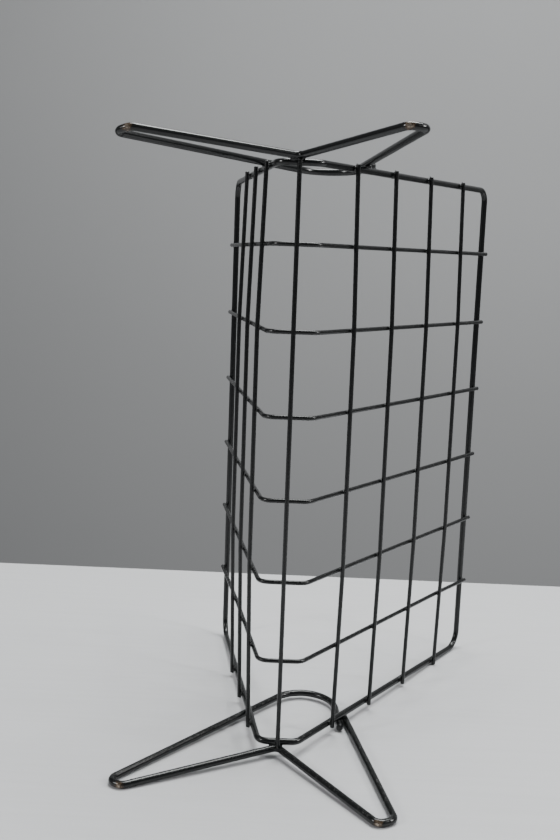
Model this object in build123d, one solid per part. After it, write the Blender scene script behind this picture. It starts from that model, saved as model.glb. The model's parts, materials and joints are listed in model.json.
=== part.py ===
from build123d import *
import os
from math import cos, radians, sin, tan

# A newspaper rack of welded steel wire: a V-shaped trough with a bent leg loop at each end.
# It is modelled standing on end. The trough frame has +Z along the trough, +Y from the bottom of
# the V towards its mouth and +X towards the longer of its two sides, and z = 0 on the lower end
# wire. The finished rack is then leaned back until it stands on its feet and wire ends. All in mm.

# Wire
THIN_WIRE = 3.0            # diameter of the cross ribs and the long wires
FRAME_WIRE = 4.5           # diameter of the rim frame
LEG_WIRE = 4.8             # diameter of the leg loops
WELD_SINK = 0.3            # how far two crossing wires are pressed into each other

# Section of the trough, on the centreline of the cross ribs
SIDE_ANGLE = 22.7          # lean of each side from the trough's middle plane, degrees
SHORT_BEND = Vector(-16.0, -3.7)    # where the bottom turns into the short side
LONG_BEND = Vector(14.0, 3.2)       # where the bottom turns into the long side
BEND_RADIUS = 8.0
SHORT_SIDE = 211.0         # from the bend to the rim
LONG_SIDE = 240.6
RIB_OVERHANG = 2.0         # cut end of a rib, past the centreline of the rim

# Along the trough
TROUGH_LENGTH = 385.0      # between the centrelines of the two end wires
FRAME_CORNER_RADIUS = 13.5
TIGHT_CORNER_RADIUS = 9.0  # the upper corner of the long side
RIB_COUNT = 6
FIRST_RIB = 58.5
RIB_PITCH = 55.2
SHORT_SIDE_WIRES = (30.0, 80.0, 127.0)           # distances from the bend
LONG_SIDE_WIRES = (41.0, 91.0, 142.0, 194.0)
LONG_WIRE_OVERHANG = 2.4   # cut end of a long wire, past the centreline of the end wire
CENTRE_WIRE_OVERHANG = 1.8 # the centre wire stops at the crotch of the legs
CENTRE_WIRE_PLACE = 16.2   # distance from the short side's bend, along the bottom
GENTLE_RADIUS = 250.0      # long wires and outer ribs are sprung to shape, not bent

# Leg loops. Each is one wire that starts over the end wire of the long side, goes round the foot on
# that side, the crotch, the foot on the short side and the arch, and ends beside its own start. Every
# entry is a place in the section and how far the wire stands out past the end wire there. The feet
# are sprung out by different amounts.
LOWER_LEG = (
    (Vector(33.9, 65.5), 4.3),      # start
    (Vector(87.6, -56.8), 9.4),     # foot on the long side
    (Vector(78.0, -64.4), 9.4),
    (Vector(-1.0, 2.6), 4.0),       # crotch
    (Vector(-86.2, -66.8), 9.6),    # foot on the short side
    (Vector(-97.5, -63.2), 9.6),
    (Vector(9.5, 130.5), 0.0),      # arch
    (Vector(34.4, 46.5), 4.8),      # end
)
UPPER_LEG = (
    (Vector(26.4, 71.0), 3.2),
    (Vector(83.7, -57.6), 13.6),
    (Vector(74.4, -64.4), 14.4),
    (Vector(-1.0, 2.6), 4.0),
    (Vector(-86.2, -66.8), 12.4),
    (Vector(-97.5, -63.2), 9.7),
    (Vector(5.2, 130.6), 0.2),
    (Vector(34.8, 64.6), 4.2),
)
LEG_BEND_RADII = (5.5, 5.5, 5.0, 5.5, 5.5, 25.0)

# Stance: on both lower feet and the lower end wire, where it reaches the long side's rim
LEAN_BACK = 2.01           # degrees

# Layers of wire, counted outward from the centreline of the ribs
FRAME_LAYER = WELD_SINK - (THIN_WIRE + FRAME_WIRE) / 2
LONG_WIRE_LAYER = THIN_WIRE - WELD_SINK
LONG_WIRE_END_LAYER = FRAME_LAYER + (THIN_WIRE + FRAME_WIRE) / 2 - WELD_SINK
OUTER_RIB_LAYER = (LONG_WIRE_END_LAYER - LONG_WIRE_LAYER) / 2

# Directions of the three runs of the section, each with its normal pointing out of the trough
SHORT_RUN = Vector(-sin(radians(SIDE_ANGLE)), cos(radians(SIDE_ANGLE)))
LONG_RUN = Vector(sin(radians(SIDE_ANGLE)), cos(radians(SIDE_ANGLE)))
BOTTOM_RUN = (LONG_BEND - SHORT_BEND).normalized()
SHORT_OUT = Vector(-SHORT_RUN.Y, SHORT_RUN.X)
LONG_OUT = Vector(LONG_RUN.Y, -LONG_RUN.X)
BOTTOM_OUT = Vector(BOTTOM_RUN.Y, -BOTTOM_RUN.X)


def rib_height(number):
    """Height of a cross rib above the lower end wire; the lowest is number 1."""
    return FIRST_RIB + (number - 1) * RIB_PITCH


def at_height(point, z):
    """A point of the section, lifted to a height."""
    return Vector(point.X, point.Y, z)


def on_short_side(distance, layer):
    """Point of the section on the short side, in one of the layers of wire."""
    return SHORT_BEND + SHORT_RUN * distance + SHORT_OUT * layer


def on_long_side(distance, layer):
    """Point of the section on the long side, in one of the layers of wire."""
    return LONG_BEND + LONG_RUN * distance + LONG_OUT * layer


def on_bottom(distance, layer):
    """Point of the section on the bottom of the V, in one of the layers of wire."""
    return SHORT_BEND + BOTTOM_RUN * distance + BOTTOM_OUT * layer


def shifted_bend(bend, side_out, layer):
    """Where the bottom and one side meet once both have moved to a layer of wire."""
    return bend + (side_out + BOTTOM_OUT) * (layer / (1 + side_out.dot(BOTTOM_OUT)))


def section_bends(layer, z):
    """The two bends of the section in one layer of wire, short side first."""
    short_bend = shifted_bend(SHORT_BEND, SHORT_OUT, layer)
    long_bend = shifted_bend(LONG_BEND, LONG_OUT, layer)
    return [at_height(short_bend, z), at_height(long_bend, z)]


def round_bend(before, corner, after, radius):
    """Arc that replaces the corner between two straight runs."""
    back = (before - corner).normalized()
    ahead = (after - corner).normalized()
    half_angle = radians(back.get_angle(ahead) / 2)
    tangent = radius / tan(half_angle)
    crown = radius / sin(half_angle) - radius
    middle = corner + (back + ahead).normalized() * crown
    return Edge.make_three_point_arc(corner + back * tangent, middle, corner + ahead * tangent)


def bent_wire(points, radii, diameter, closed=False):
    """Round wire through the points, with one radius for each corner, where it is bent.

    The first and last points of an open wire are its cut ends, and have no bend.
    """
    count = len(points)
    corners = range(count) if closed else range(1, count - 1)
    bends = [
        round_bend(points[i - 1], points[i], points[(i + 1) % count], radius)
        for i, radius in zip(corners, radii)
    ]
    first = bends[-1] @ 1 if closed else points[0]
    starts = [first, *(bend @ 1 for bend in bends[:-1])]
    edges = []
    for start, bend in zip(starts, bends):
        edges += [Edge.make_line(start, bend @ 0), bend]
    if not closed:
        edges.append(Edge.make_line(bends[-1] @ 1, points[-1]))
    path = Wire(edges)
    return sweep(path.location_at(0) * Circle(diameter / 2), path=path)


def rim_frame():
    """Closed loop of thick wire: an end wire, a rim, the other end wire and the other rim."""
    points = []
    for z in (0, TROUGH_LENGTH):
        run = [
            at_height(on_long_side(LONG_SIDE, FRAME_LAYER), z),
            *reversed(section_bends(FRAME_LAYER, z)),
            at_height(on_short_side(SHORT_SIDE, FRAME_LAYER), z),
        ]
        points += run if z == 0 else reversed(run)
    bends = [BEND_RADIUS, BEND_RADIUS, FRAME_CORNER_RADIUS]
    radii = [FRAME_CORNER_RADIUS, *bends, *reversed(bends), TIGHT_CORNER_RADIUS]
    return bent_wire(points, radii, FRAME_WIRE, closed=True)


def cross_rib(number):
    """V-shaped cross wire, welded over both rims.

    The first and last ribs are pulled in between the rims by the long wires.
    """
    z = rib_height(number)
    pulled_in = number in (1, RIB_COUNT)
    layer = OUTER_RIB_LAYER if pulled_in else 0
    points = section_bends(layer, z)
    radii = [BEND_RADIUS, BEND_RADIUS]
    if pulled_in:
        points.insert(0, at_height(on_short_side(SHORT_SIDE_WIRES[-1], layer), z))
        points.append(at_height(on_long_side(LONG_SIDE_WIRES[-1], layer), z))
        radii = [GENTLE_RADIUS, *radii, GENTLE_RADIUS]
    points.insert(0, at_height(on_short_side(SHORT_SIDE + RIB_OVERHANG, 0), z))
    points.append(at_height(on_long_side(LONG_SIDE + RIB_OVERHANG, 0), z))
    return bent_wire(points, radii, THIN_WIRE)


def long_wire(place_on_section, overhang):
    """Thin wire along the trough: over the ribs, and sprung in to lie on both end wires."""
    ribs_layer = place_on_section(LONG_WIRE_LAYER)
    end_layer = place_on_section(LONG_WIRE_END_LAYER)
    points = [
        at_height(end_layer, -overhang),
        at_height(ribs_layer, rib_height(2)),
        at_height(ribs_layer, rib_height(RIB_COUNT - 1)),
        at_height(end_layer, TROUGH_LENGTH + overhang),
    ]
    return bent_wire(points, [GENTLE_RADIUS, GENTLE_RADIUS], THIN_WIRE)


def leg_loop(entries, end_height, outward):
    """Leg wire across one end of the trough; outward is 1 at the upper end and -1 at the lower."""
    points = [at_height(place, end_height + outward * stand_out) for place, stand_out in entries]
    return bent_wire(points, LEG_BEND_RADII, LEG_WIRE)


def build_rack():
    """Every piece of wire by its name, in the trough frame."""
    pieces = {
        "rim_frame": rim_frame(),
        "leg_loop_lower": leg_loop(LOWER_LEG, 0, -1),
        "leg_loop_upper": leg_loop(UPPER_LEG, TROUGH_LENGTH, 1),
        "centre_wire": long_wire(lambda layer: on_bottom(CENTRE_WIRE_PLACE, layer), CENTRE_WIRE_OVERHANG),
    }
    for number in range(1, RIB_COUNT + 1):
        pieces[f"cross_rib_{number}"] = cross_rib(number)
    for number, distance in enumerate(LONG_SIDE_WIRES, start=1):
        wire = long_wire(lambda layer: on_long_side(distance, layer), LONG_WIRE_OVERHANG)
        pieces[f"long_side_wire_{number}"] = wire
    for number, distance in enumerate(SHORT_SIDE_WIRES, start=1):
        wire = long_wire(lambda layer: on_short_side(distance, layer), LONG_WIRE_OVERHANG)
        pieces[f"short_side_wire_{number}"] = wire
    return pieces


def stand_up(pieces):
    """Lean the rack back and put the middle of its footprint at the origin."""
    leaned = {name: Rot(X=-LEAN_BACK) * piece for name, piece in pieces.items()}
    boxes = [piece.bounding_box() for piece in leaned.values()]
    middle_x = (min(box.min.X for box in boxes) + max(box.max.X for box in boxes)) / 2
    middle_y = (min(box.min.Y for box in boxes) + max(box.max.Y for box in boxes)) / 2
    lowest = min(box.min.Z for box in boxes)
    return {name: Pos(-middle_x, -middle_y, -lowest) * piece for name, piece in leaned.items()}


os.makedirs("parts", exist_ok=True)
for name, piece in stand_up(build_rack()).items():
    export_step(piece, f"parts/{name}.step")
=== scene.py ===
import json
import math

import bmesh
import bpy
import numpy as np
from mathutils import Matrix, Vector
from mathutils.bvhtree import BVHTree


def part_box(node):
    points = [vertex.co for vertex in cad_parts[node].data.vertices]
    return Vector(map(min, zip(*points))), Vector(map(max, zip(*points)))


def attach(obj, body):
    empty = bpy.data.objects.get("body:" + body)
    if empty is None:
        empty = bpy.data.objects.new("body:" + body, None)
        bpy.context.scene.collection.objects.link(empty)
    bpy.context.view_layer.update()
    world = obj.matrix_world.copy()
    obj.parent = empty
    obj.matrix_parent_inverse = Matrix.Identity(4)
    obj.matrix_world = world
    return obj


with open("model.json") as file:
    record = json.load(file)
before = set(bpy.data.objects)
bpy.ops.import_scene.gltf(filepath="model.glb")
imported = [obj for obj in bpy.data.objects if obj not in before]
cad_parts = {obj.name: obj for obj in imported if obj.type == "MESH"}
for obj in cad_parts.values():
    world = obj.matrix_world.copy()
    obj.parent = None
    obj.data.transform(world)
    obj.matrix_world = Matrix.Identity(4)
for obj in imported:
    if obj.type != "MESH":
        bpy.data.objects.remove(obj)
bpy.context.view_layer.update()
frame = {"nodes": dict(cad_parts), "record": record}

wires = frame["nodes"]


# Rim frame: the thickest wire of the trough, bent into one closed loop that makes both end wires
# and both rims. Bright drawn steel under one dip of satin black lacquer, which has levelled almost
# smooth and holds a little dust where it faces up.
LACQUER_BLACK = (0.0016, 0.0019, 0.0021, 1.0)
LACQUER_GREY = (0.0045, 0.0053, 0.0054, 1.0)
DUST_GREY = (0.17, 0.17, 0.165, 1.0)


def link(tree, source, target):
    tree.links.new(source, target)


def add_node(tree, kind, x, y, **settings):
    made = tree.nodes.new(kind)
    made.location = (x, y)
    for key, value in settings.items():
        setattr(made, key, value)
    return made


def lacquer(name, roughness_low, roughness_high, dust):
    """Satin black lacquer on drawn wire, between two roughnesses and with some dust on top."""
    finish = bpy.data.materials.new(name)
    finish.use_nodes = True
    tree = finish.node_tree
    shader = tree.nodes["Principled BSDF"]
    shader.inputs["IOR"].default_value = 1.45
    place = add_node(tree, "ShaderNodeTexCoord", -1300, 0)

    # slow drift of the film from thick to thin, then the fine levelling marks
    clouds = add_node(tree, "ShaderNodeTexNoise", -1050, 250)
    clouds.inputs["Scale"].default_value = 60.0
    clouds.inputs["Detail"].default_value = 4.0
    fine = add_node(tree, "ShaderNodeTexNoise", -1050, 0)
    fine.inputs["Scale"].default_value = 900.0
    fine.inputs["Detail"].default_value = 5.0
    ripple = add_node(tree, "ShaderNodeTexNoise", -1050, -250)
    ripple.inputs["Scale"].default_value = 260.0
    ripple.inputs["Detail"].default_value = 2.0
    for texture in (clouds, fine, ripple):
        link(tree, place.outputs["Object"], texture.inputs["Vector"])

    colour = add_node(tree, "ShaderNodeMix", -700, 300, data_type="RGBA")
    colour.inputs[6].default_value = LACQUER_BLACK
    colour.inputs[7].default_value = LACQUER_GREY
    link(tree, clouds.outputs["Fac"], colour.inputs["Factor"])

    # dust: specks that only lie where the surface looks up
    facing = add_node(tree, "ShaderNodeNewGeometry", -1300, -500)
    split = add_node(tree, "ShaderNodeSeparateXYZ", -1100, -500)
    link(tree, facing.outputs["Normal"], split.inputs["Vector"])
    upward = add_node(tree, "ShaderNodeMapRange", -900, -500)
    upward.inputs["From Min"].default_value = 0.25
    upward.inputs["From Max"].default_value = 1.0
    upward.inputs["To Max"].default_value = dust
    link(tree, split.outputs["Z"], upward.inputs["Value"])
    specks = add_node(tree, "ShaderNodeMapRange", -700, -250)
    specks.inputs["From Min"].default_value = 0.55
    specks.inputs["From Max"].default_value = 0.72
    link(tree, fine.outputs["Fac"], specks.inputs["Value"])
    settled = add_node(tree, "ShaderNodeMath", -500, -350, operation="MULTIPLY")
    link(tree, upward.outputs["Result"], settled.inputs[0])
    link(tree, specks.outputs["Result"], settled.inputs[1])
    dusty = add_node(tree, "ShaderNodeMix", -300, 250, data_type="RGBA")
    dusty.inputs[7].default_value = DUST_GREY
    link(tree, settled.outputs["Value"], dusty.inputs["Factor"])
    link(tree, colour.outputs[2], dusty.inputs[6])
    link(tree, dusty.outputs[2], shader.inputs["Base Color"])

    gloss = add_node(tree, "ShaderNodeMapRange", -500, 0)
    gloss.inputs["To Min"].default_value = roughness_low
    gloss.inputs["To Max"].default_value = roughness_high
    link(tree, fine.outputs["Fac"], gloss.inputs["Value"])
    link(tree, gloss.outputs["Result"], shader.inputs["Roughness"])

    levelling = add_node(tree, "ShaderNodeBump", -500, -600)
    levelling.inputs["Strength"].default_value = 0.35
    levelling.inputs["Distance"].default_value = 0.00012
    link(tree, ripple.outputs["Fac"], levelling.inputs["Height"])
    grain = add_node(tree, "ShaderNodeBump", -250, -600)
    grain.inputs["Strength"].default_value = 0.25
    grain.inputs["Distance"].default_value = 0.00003
    link(tree, fine.outputs["Fac"], grain.inputs["Height"])
    link(tree, levelling.outputs["Normal"], grain.inputs["Normal"])
    link(tree, grain.outputs["Normal"], shader.inputs["Normal"])
    return finish


def dress(wire, finish):
    for slot in wire.material_slots:
        slot.material = finish


frame_lacquer = lacquer("satin_black_lacquer_frame", 0.14, 0.30, 0.4)
dress(wires["rim_frame"], frame_lacquer)


# Cross ribs and long wires: thinner drawn wire, cut to length, laid crosswise and spot welded to
# each other and to the rim frame before the dip, so the same lacquer lies a little thicker on them.
thin_lacquer = lacquer("satin_black_lacquer_thin", 0.18, 0.34, 0.35)
ribs = {name: wire for name, wire in wires.items() if name.startswith("cross_rib")}
long_wires = {
    name: wire for name, wire in wires.items() if "_side_wire_" in name or name == "centre_wire"
}
for wire in [*ribs.values(), *long_wires.values()]:
    dress(wire, thin_lacquer)


# Spot welds: where two wires cross they are pressed into each other, and squeezed metal and lacquer
# round off the corner between them. One mesh holds the welds of one rib or one end wire.
THIN_RADIUS = 0.0015
FRAME_RADIUS = 0.00225
WELD_UNDERCUT = 0.00004    # the weld starts just under the skin of the wires
WELD_HALVINGS = 14         # each halving doubles the precision of the weld's skin
WELD_EDGE_FILL = 0.02      # part of the fillet that is left at the weld's edge
RIB_WELD = (0.0013, 0.0030)        # (size of the fillet, how far the weld reaches)
RIM_WELD = (0.0014, 0.0036)
END_WIRE_WELD = (0.0014, 0.0034)
SAME_WIRE = 0.0042         # a cut further than this from a place is another stretch of the wire


def points_and_edges(mesh):
    return np.array([v.co for v in mesh.vertices]), np.array([e.vertices for e in mesh.edges])


skins = {name: points_and_edges(wire.data) for name, wire in wires.items()}


def cut_through(wire, point, normal):
    """Where a plane cuts the skin of a wire: one point for each edge that it crosses."""
    xyz, ends = skins[wire.name]
    height = (xyz - np.array(point)) @ np.array(normal)
    first, second = height[ends[:, 0]], height[ends[:, 1]]
    cut = first * second < 0
    share = (first[cut] / (first[cut] - second[cut]))[:, None]
    return xyz[ends[cut, 0]] * (1 - share) + xyz[ends[cut, 1]] * share


def middle_of(places):
    return Vector((places.min(axis=0) + places.max(axis=0)) / 2)


def section_middle(wire, point, normal, near=None, reach=SAME_WIRE):
    """Middle of the round section where a plane cuts a wire, close to a place."""
    places = cut_through(wire, point, normal)
    if near is not None:
        places = places[np.linalg.norm(places - np.array(near), axis=1) < reach]
    return middle_of(places)


def surface_of(wire):
    mesh = wire.data
    return BVHTree.FromPolygons([v.co for v in mesh.vertices], [p.vertices for p in mesh.polygons])


ball = bmesh.new()
bmesh.ops.create_icosphere(ball, subdivisions=3, radius=1.0)
ball.verts.ensure_lookup_table()
BALL_POINTS = np.array([vertex.co for vertex in ball.verts])
BALL_FACES = [[vertex.index for vertex in face.verts] for face in ball.faces]
ball.free()


def weld_skin(middle, first, second, weld_size):
    """Closed skin of one weld: both wires, with the corner between them filled near their contact.

    Each wire is (a point on its centreline, its direction, its radius).
    """
    fill, reach = weld_size
    near, far = np.zeros(len(BALL_POINTS)), np.full(len(BALL_POINTS), reach)
    for _ in range(WELD_HALVINGS):
        distance = (near + far) / 2
        places = np.array(middle) + BALL_POINTS * distance[:, None]
        gaps = []
        for point, direction, radius in (first, second):
            along = np.array(direction.normalized())
            offset = places - np.array(point)
            offset -= (offset @ along)[:, None] * along
            gaps.append(np.linalg.norm(offset, axis=1) - radius + WELD_UNDERCUT)
        blend = fill * np.maximum(1 - (distance / reach) ** 2, WELD_EDGE_FILL)
        share = np.clip(0.5 + 0.5 * (gaps[1] - gaps[0]) / blend, 0, 1)
        inside = gaps[1] * (1 - share) + gaps[0] * share - blend * share * (1 - share) < 0
        near, far = np.where(inside, distance, near), np.where(inside, far, distance)
    return np.array(middle) + BALL_POINTS * near[:, None], BALL_FACES


def make_piece(name, groups, finish):
    """One mesh from several closed skins, each (points, faces)."""
    points, faces = [], []
    for group_points, group_faces in groups:
        faces += [[corner + len(points) for corner in face] for face in group_faces]
        points += [tuple(point) for point in group_points]
    mesh = bpy.data.meshes.new(name)
    mesh.from_pydata(points, [], faces)
    mesh.materials.append(finish)
    mesh.shade_smooth()
    piece = bpy.data.objects.new(name, mesh)
    bpy.context.scene.collection.objects.link(piece)
    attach(piece, "root")
    return piece


rim = wires["rim_frame"]
rim_low, rim_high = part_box("rim_frame")


def rim_at(x, y, height, reach):
    """Middle of a rim at a height, close to a place on the floor plan."""
    return section_middle(rim, (0, 0, height), (0, 0, 1), (x, y, height), reach)


long_rim = rim_at(rim_high.x, 0.138, 0.15, 0.02)
short_rim = rim_at(rim_low.x, 0.1, 0.15, 0.03)
along_trough = (rim_at(rim_high.x, 0.141, 0.25, 0.02) - long_rim).normalized()


def cross_weld(place, radius, other_surface, other_radius, weld_size):
    """Weld between a wire along the trough, at a place on its centreline, and one across it."""
    skin, _, _, distance = other_surface.find_nearest(place)
    outward = (skin - place).normalized()
    other_place = place + outward * (distance + other_radius)
    contact = (radius + distance) / 2 if distance < radius else distance
    first = (place, along_trough, radius)
    second = (other_place, outward.cross(along_trough), other_radius)
    return weld_skin(place + outward * contact, first, second, weld_size)


for name, rib in ribs.items():
    heights = [vertex.co.dot(along_trough) for vertex in rib.data.vertices]
    level = along_trough * ((min(heights) + max(heights)) / 2)
    surface = surface_of(rib)
    welds = []
    for wire in long_wires.values():
        place = section_middle(wire, level, along_trough)
        welds.append(cross_weld(place, THIN_RADIUS, surface, THIN_RADIUS, RIB_WELD))
    for side in (long_rim, short_rim):
        guess = side + along_trough * ((level - side).dot(along_trough))
        place = section_middle(rim, level, along_trough, guess)
        welds.append(cross_weld(place, FRAME_RADIUS, surface, THIN_RADIUS, RIM_WELD))
    make_piece(f"{name}_welds", welds, thin_lacquer)

rim_surface = surface_of(rim)
rim_heights = [vertex.co.dot(along_trough) for vertex in rim.data.vertices]
end_levels = {
    "lower": along_trough * (min(rim_heights) + FRAME_RADIUS),
    "upper": along_trough * (max(rim_heights) - FRAME_RADIUS),
}
for end, level in end_levels.items():
    welds = []
    for wire in long_wires.values():
        place = section_middle(wire, level, along_trough)
        welds.append(cross_weld(place, THIN_RADIUS, rim_surface, FRAME_RADIUS, END_WIRE_WELD))
    make_piece(f"{end}_end_wire_welds", welds, thin_lacquer)


# Cut ends: every rib and long wire is sheared off just past the wire that it is welded to, and the
# dip leaves a rounded bead of lacquer over each raw end.
CAP_SEGMENTS = 20
CAP_PROFILE = (            # (distance past the cut, radius less the wire's own)
    (-0.00110, -0.00006),
    (-0.00070, 0.00003),
    (-0.00025, 0.00007),
    (0.00005, 0.00002),
    (0.00022, -0.00020),
    (0.00034, -0.00055),
    (0.00040, -0.00100),
)


def cut_ends(wire, radius):
    """The flat ends of a wire, each (middle, outward direction).

    An end is where facets that lie in one plane cover most of the wire's own section.
    """
    flats = {}
    for face in wire.data.polygons:
        facing = tuple(round(value, 2) for value in face.normal)
        flats.setdefault((facing, round(face.normal.dot(face.center), 4)), []).append(face)
    found = []
    for faces in flats.values():
        corners = [wire.data.vertices[index].co for face in faces for index in face.vertices]
        middle = sum(corners, Vector()) / len(corners)
        spread = max((corner - middle).length for corner in corners)
        area = sum(face.area for face in faces)
        if area > 0.8 * math.pi * radius**2 and spread < 1.5 * radius:
            low = Vector(map(min, zip(*corners)))
            high = Vector(map(max, zip(*corners)))
            found.append(((low + high) / 2, faces[0].normal.copy()))
    return found


def cap_skin(middle, outward, radius):
    """Closed bead over one cut end."""
    turn = outward.to_track_quat("Z", "Y").to_matrix()
    points, faces = [], []
    for past, extra in CAP_PROFILE:
        ring = radius + extra
        for step in range(CAP_SEGMENTS):
            angle = 2 * math.pi * step / CAP_SEGMENTS
            spot = Vector((ring * math.cos(angle), ring * math.sin(angle), past))
            points.append(middle + turn @ spot)
    for row in range(len(CAP_PROFILE) - 1):
        base = row * CAP_SEGMENTS
        above = base + CAP_SEGMENTS
        for step in range(CAP_SEGMENTS):
            after = (step + 1) % CAP_SEGMENTS
            faces.append([base + step, base + after, above + after, above + step])
    last = (len(CAP_PROFILE) - 1) * CAP_SEGMENTS
    faces.append(list(reversed(range(CAP_SEGMENTS))))
    faces.append([last + step for step in range(CAP_SEGMENTS)])
    return points, faces


def cap_ends(wire, radius, finish):
    """One mesh with the beads over both ends of a wire."""
    caps = [cap_skin(middle, outward, radius) for middle, outward in cut_ends(wire, radius)]
    make_piece(f"{wire.name}_cut_ends", caps, finish)


for wire in [*ribs.values(), *long_wires.values()]:
    cap_ends(wire, THIN_RADIUS, thin_lacquer)


# Leg loops: one length of the heaviest wire at each end, bent round two feet, the crotch and the
# arch, sprung outwards at the feet and welded over the end wire. The feet have rubbed through to
# bare steel where they slide on a table.
LEG_RADIUS = 0.0024
LEG_WELD = (0.0020, 0.0048)
FEET_FROM_MIDDLE = 0.04    # both feet lie further than this to the side
CROTCH_HALF_WIDTH = 0.02   # within this of the middle, a loop runs from side to side
SAME_LEG = 0.0036          # a cut further than this from a place is another stretch of the loop
FEWEST_CUTS = 6            # an upright plane past the end wire's corners meets less of it than this
WIDEST_CUT = 0.02          # or runs along it for more than this
TOUCHING = 0.0004          # a loop this near to the end wire is welded to it
WEAR_REACH = 0.0085
BARE_STEEL = (0.40, 0.34, 0.28, 1.0)
BROWN_EDGE = (0.060, 0.038, 0.022, 1.0)


def foot_points(loop):
    """The place on each of a loop's two feet that touches the table in use."""
    mounts = {mount["name"]: mount for mount in frame["record"]["mounts"]}
    down = Vector(mounts["table_rest"]["axis"])
    found = []
    for side in (-1, 1):
        skin = [vertex.co for vertex in loop.data.vertices if vertex.co.x * side > FEET_FROM_MIDDLE]
        found.append(max(skin, key=lambda place: place.dot(down)))
    return found


def worn_lacquer(name, feet):
    """The same lacquer, rubbed through at the feet."""
    finish = lacquer(name, 0.13, 0.29, 0.45)
    tree = finish.node_tree
    shader = tree.nodes["Principled BSDF"]
    place = next(node for node in tree.nodes if node.type == "TEX_COORD")
    closest = add_node(tree, "ShaderNodeMath", -1100, 700, operation="MINIMUM")
    for row, foot in enumerate(feet):
        span = add_node(tree, "ShaderNodeVectorMath", -1300, 600 + 200 * row, operation="DISTANCE")
        span.inputs[1].default_value = foot
        link(tree, place.outputs["Object"], span.inputs[0])
        link(tree, span.outputs["Value"], closest.inputs[row])
    nearness = add_node(tree, "ShaderNodeMapRange", -900, 700)
    nearness.inputs["From Min"].default_value = WEAR_REACH
    nearness.inputs["From Max"].default_value = 0.0
    link(tree, closest.outputs["Value"], nearness.inputs["Value"])
    ragged = add_node(tree, "ShaderNodeTexNoise", -900, 950)
    ragged.inputs["Scale"].default_value = 700.0
    ragged.inputs["Detail"].default_value = 6.0
    ragged.inputs["Roughness"].default_value = 0.65
    link(tree, place.outputs["Object"], ragged.inputs["Vector"])
    summed = add_node(tree, "ShaderNodeMath", -700, 800, operation="ADD")
    link(tree, nearness.outputs["Result"], summed.inputs[0])
    link(tree, ragged.outputs["Fac"], summed.inputs[1])
    bare = add_node(tree, "ShaderNodeMapRange", -500, 800, interpolation_type="SMOOTHSTEP")
    bare.inputs["From Min"].default_value = 1.27
    bare.inputs["From Max"].default_value = 1.50
    link(tree, summed.outputs["Value"], bare.inputs["Value"])
    thinned = add_node(tree, "ShaderNodeMapRange", -500, 1050, interpolation_type="SMOOTHSTEP")
    thinned.inputs["From Min"].default_value = 1.05
    thinned.inputs["From Max"].default_value = 1.30
    link(tree, summed.outputs["Value"], thinned.inputs["Value"])

    # the film first thins to brown at the edge of the patch, then the steel shows
    colour_link = shader.inputs["Base Color"].links[0]
    browned = add_node(tree, "ShaderNodeMix", -200, 700, data_type="RGBA")
    browned.inputs[7].default_value = BROWN_EDGE
    link(tree, thinned.outputs["Result"], browned.inputs["Factor"])
    link(tree, colour_link.from_socket, browned.inputs[6])
    mixed = add_node(tree, "ShaderNodeMix", -50, 500, data_type="RGBA")
    mixed.inputs[7].default_value = BARE_STEEL
    link(tree, bare.outputs["Result"], mixed.inputs["Factor"])
    link(tree, browned.outputs[2], mixed.inputs[6])
    link(tree, mixed.outputs[2], shader.inputs["Base Color"])
    link(tree, bare.outputs["Result"], shader.inputs["Metallic"])
    return finish


def end_wire_at(x, level):
    """Middle of an end wire where an upright plane cuts it, or nothing past its corners."""
    places = cut_through(rim, (x, 0, 0), (1, 0, 0))
    above_end_wire = (places - np.array(level)) @ np.array(along_trough)
    places = places[np.abs(above_end_wire) < 1.05 * FRAME_RADIUS]
    if len(places) < FEWEST_CUTS or np.ptp(places[:, 1]) > WIDEST_CUT:
        return None
    return middle_of(places)


def leg_weld(place, direction, loop, surface):
    """Weld between the end wire and a leg loop that crosses it."""
    skin, _, _, distance = surface.find_nearest(place)
    outward = (skin - place).normalized()
    leg_place = place + outward * (distance + LEG_RADIUS)
    across = Vector((1, 0, 0)) if abs(place.x) < CROTCH_HALF_WIDTH else Vector((0, 1, 0))
    step = across * 0.002
    ahead = section_middle(loop, leg_place + step, across, leg_place + step, SAME_LEG)
    behind = section_middle(loop, leg_place - step, across, leg_place - step, SAME_LEG)
    middle = place + outward * ((FRAME_RADIUS + distance) / 2)
    end_wire = (place, direction, FRAME_RADIUS)
    return weld_skin(middle, end_wire, (leg_place, ahead - behind, LEG_RADIUS), LEG_WELD)


for end, level in end_levels.items():
    loop = wires[f"leg_loop_{end}"]
    leg_lacquer = worn_lacquer(f"satin_black_lacquer_{end}_legs", foot_points(loop))
    dress(loop, leg_lacquer)
    cap_ends(loop, LEG_RADIUS, leg_lacquer)

    # walk along the end wire, a millimetre at a time, and weld where the loop comes closest
    surface = surface_of(loop)
    walk = []
    for millimetres in range(-88, 90):
        cut = end_wire_at(millimetres / 1000, level)
        if cut is not None:
            walk.append((surface.find_nearest(cut)[3], cut))
    welds = []
    for before, here, after in zip(walk, walk[1:], walk[2:]):
        if here[0] <= before[0] and here[0] < after[0] and here[0] < FRAME_RADIUS + TOUCHING:
            welds.append(leg_weld(here[1], (after[1] - before[1]).normalized(), loop, surface))
    make_piece(f"leg_loop_{end}_welds", welds, leg_lacquer)


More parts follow.
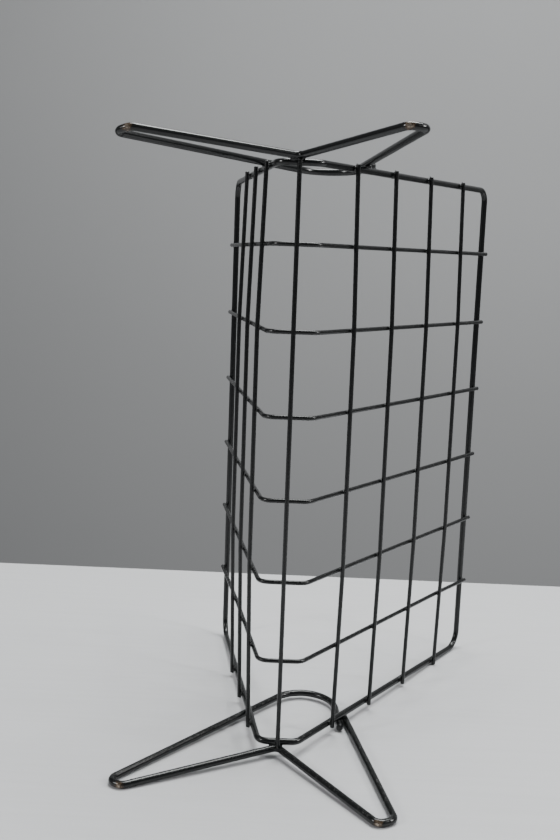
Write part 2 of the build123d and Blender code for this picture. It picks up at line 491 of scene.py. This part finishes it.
# Table and wall: a pale matt board with a faint brushed grain that the rack stands on, and a plain
# grey painted wall well behind it. Neither is part of the rack.
def mottled_paint(name, roughness, low, high, texture_scale, detail, stretch):
    """Matt paint that varies a little between two colours."""
    paint = bpy.data.materials.new(name)
    paint.use_nodes = True
    tree = paint.node_tree
    shader = tree.nodes["Principled BSDF"]
    shader.inputs["Roughness"].default_value = roughness
    place = add_node(tree, "ShaderNodeTexCoord", -900, 0)
    stretched = add_node(tree, "ShaderNodeMapping", -700, 0)
    stretched.inputs["Scale"].default_value = stretch
    mottle = add_node(tree, "ShaderNodeTexNoise", -500, 0)
    mottle.inputs["Scale"].default_value = texture_scale
    mottle.inputs["Detail"].default_value = detail
    tone = add_node(tree, "ShaderNodeMix", -250, 0, data_type="RGBA")
    tone.inputs[6].default_value = low
    tone.inputs[7].default_value = high
    link(tree, place.outputs["Object"], stretched.inputs["Vector"])
    link(tree, stretched.outputs["Vector"], mottle.inputs["Vector"])
    link(tree, mottle.outputs["Fac"], tone.inputs["Factor"])
    link(tree, tone.outputs[2], shader.inputs["Base Color"])
    return paint


def backdrop(name, place, turn, size, paint):
    """Flat sheet that the rack stands on or in front of."""
    bpy.ops.mesh.primitive_plane_add(size=1.0, location=place, rotation=turn)
    sheet = bpy.context.object
    sheet.name = name
    sheet.scale = size
    sheet.data.materials.append(paint)


TABLE_PALE = ((0.56, 0.56, 0.57, 1.0), (0.62, 0.62, 0.635, 1.0))
WALL_GREY = ((0.34, 0.34, 0.345, 1.0), (0.38, 0.38, 0.385, 1.0))
board = mottled_paint("pale_board", 0.62, *TABLE_PALE, 9.0, 6.0, (4.0, 60.0, 1.0))
wall_paint = mottled_paint("grey_wall", 0.9, *WALL_GREY, 5.0, 8.0, (1.0, 1.0, 1.0))
table_turn = (0, 0, math.radians(10.8))
backdrop("table_top", (0.132, -0.908, 0.0), table_turn, (4.0, 2.4, 1.0), board)
backdrop("wall", (0.0, 1.6, 0.5), (math.radians(90), 0, 0), (6.0, 4.0, 1.0), wall_paint)


# Light: a broad ceiling panel, two small lamps left and right that throw the wires' shadows, and a
# lamp that brightens the wall. The room adds a little light from everywhere.
ROOM_LIGHT = (0.78, 0.80, 0.82, 1.0)


def soft_lamp(name, place, aim, width, height, power, colour=(1.0, 1.0, 1.0)):
    lamp = bpy.data.objects.new(name, bpy.data.lights.new(name, "AREA"))
    lamp.data.shape = "RECTANGLE"
    lamp.data.size = width
    lamp.data.size_y = height
    lamp.data.energy = power
    lamp.data.color = colour
    lamp.location = place
    lamp.rotation_mode = "QUATERNION"
    lamp.rotation_quaternion = (Vector(aim) - Vector(place)).to_track_quat("-Z", "Y")
    bpy.context.scene.collection.objects.link(lamp)
    return lamp


soft_lamp("ceiling_panel", (0.15, 0.45, 1.9), (0, 0, 0.1), 1.3, 0.8, 52.0, (0.97, 1.0, 0.99))
soft_lamp("left_lamp", (-1.4, -1.1, 1.0), (0, 0, 0.1), 0.22, 0.22, 13.0)
soft_lamp("right_lamp", (1.6, -0.2, 1.1), (0, 0, 0.1), 0.22, 0.22, 12.0)
soft_lamp("wall_lamp", (1.7, 0.5, 1.7), (1.0, 1.6, 1.3), 0.8, 0.8, 16.0)
room = bpy.data.worlds.new("room")
room.use_nodes = True
room.node_tree.nodes["Background"].inputs["Color"].default_value = ROOM_LIGHT
room.node_tree.nodes["Background"].inputs["Strength"].default_value = 0.25
bpy.context.scene.world = room


# Camera: a short telephoto that faces the bottom of the V, near the height of the rack's top. It
# looks a little down and is tilted slightly.
CAMERA_PLACE = Vector((0.13795, -0.71617, 0.35829))
CAMERA_RIGHT = Vector((0.97193, 0.23355, 0.02823))
CAMERA_UP = Vector((-0.07129, 0.17806, 0.98143))
CAMERA_BACK = Vector((0.22419, -0.95590, 0.18971))
camera = bpy.data.objects.new("camera", bpy.data.cameras.new("camera"))
camera.data.lens = 44.19
camera.data.sensor_width = 36.0
turn = Matrix((CAMERA_RIGHT, CAMERA_UP, CAMERA_BACK)).transposed()
camera.matrix_world = Matrix.Translation(CAMERA_PLACE) @ turn.to_4x4()
bpy.context.scene.collection.objects.link(camera)
bpy.context.scene.camera = camera

bpy.context.view_layer.update()
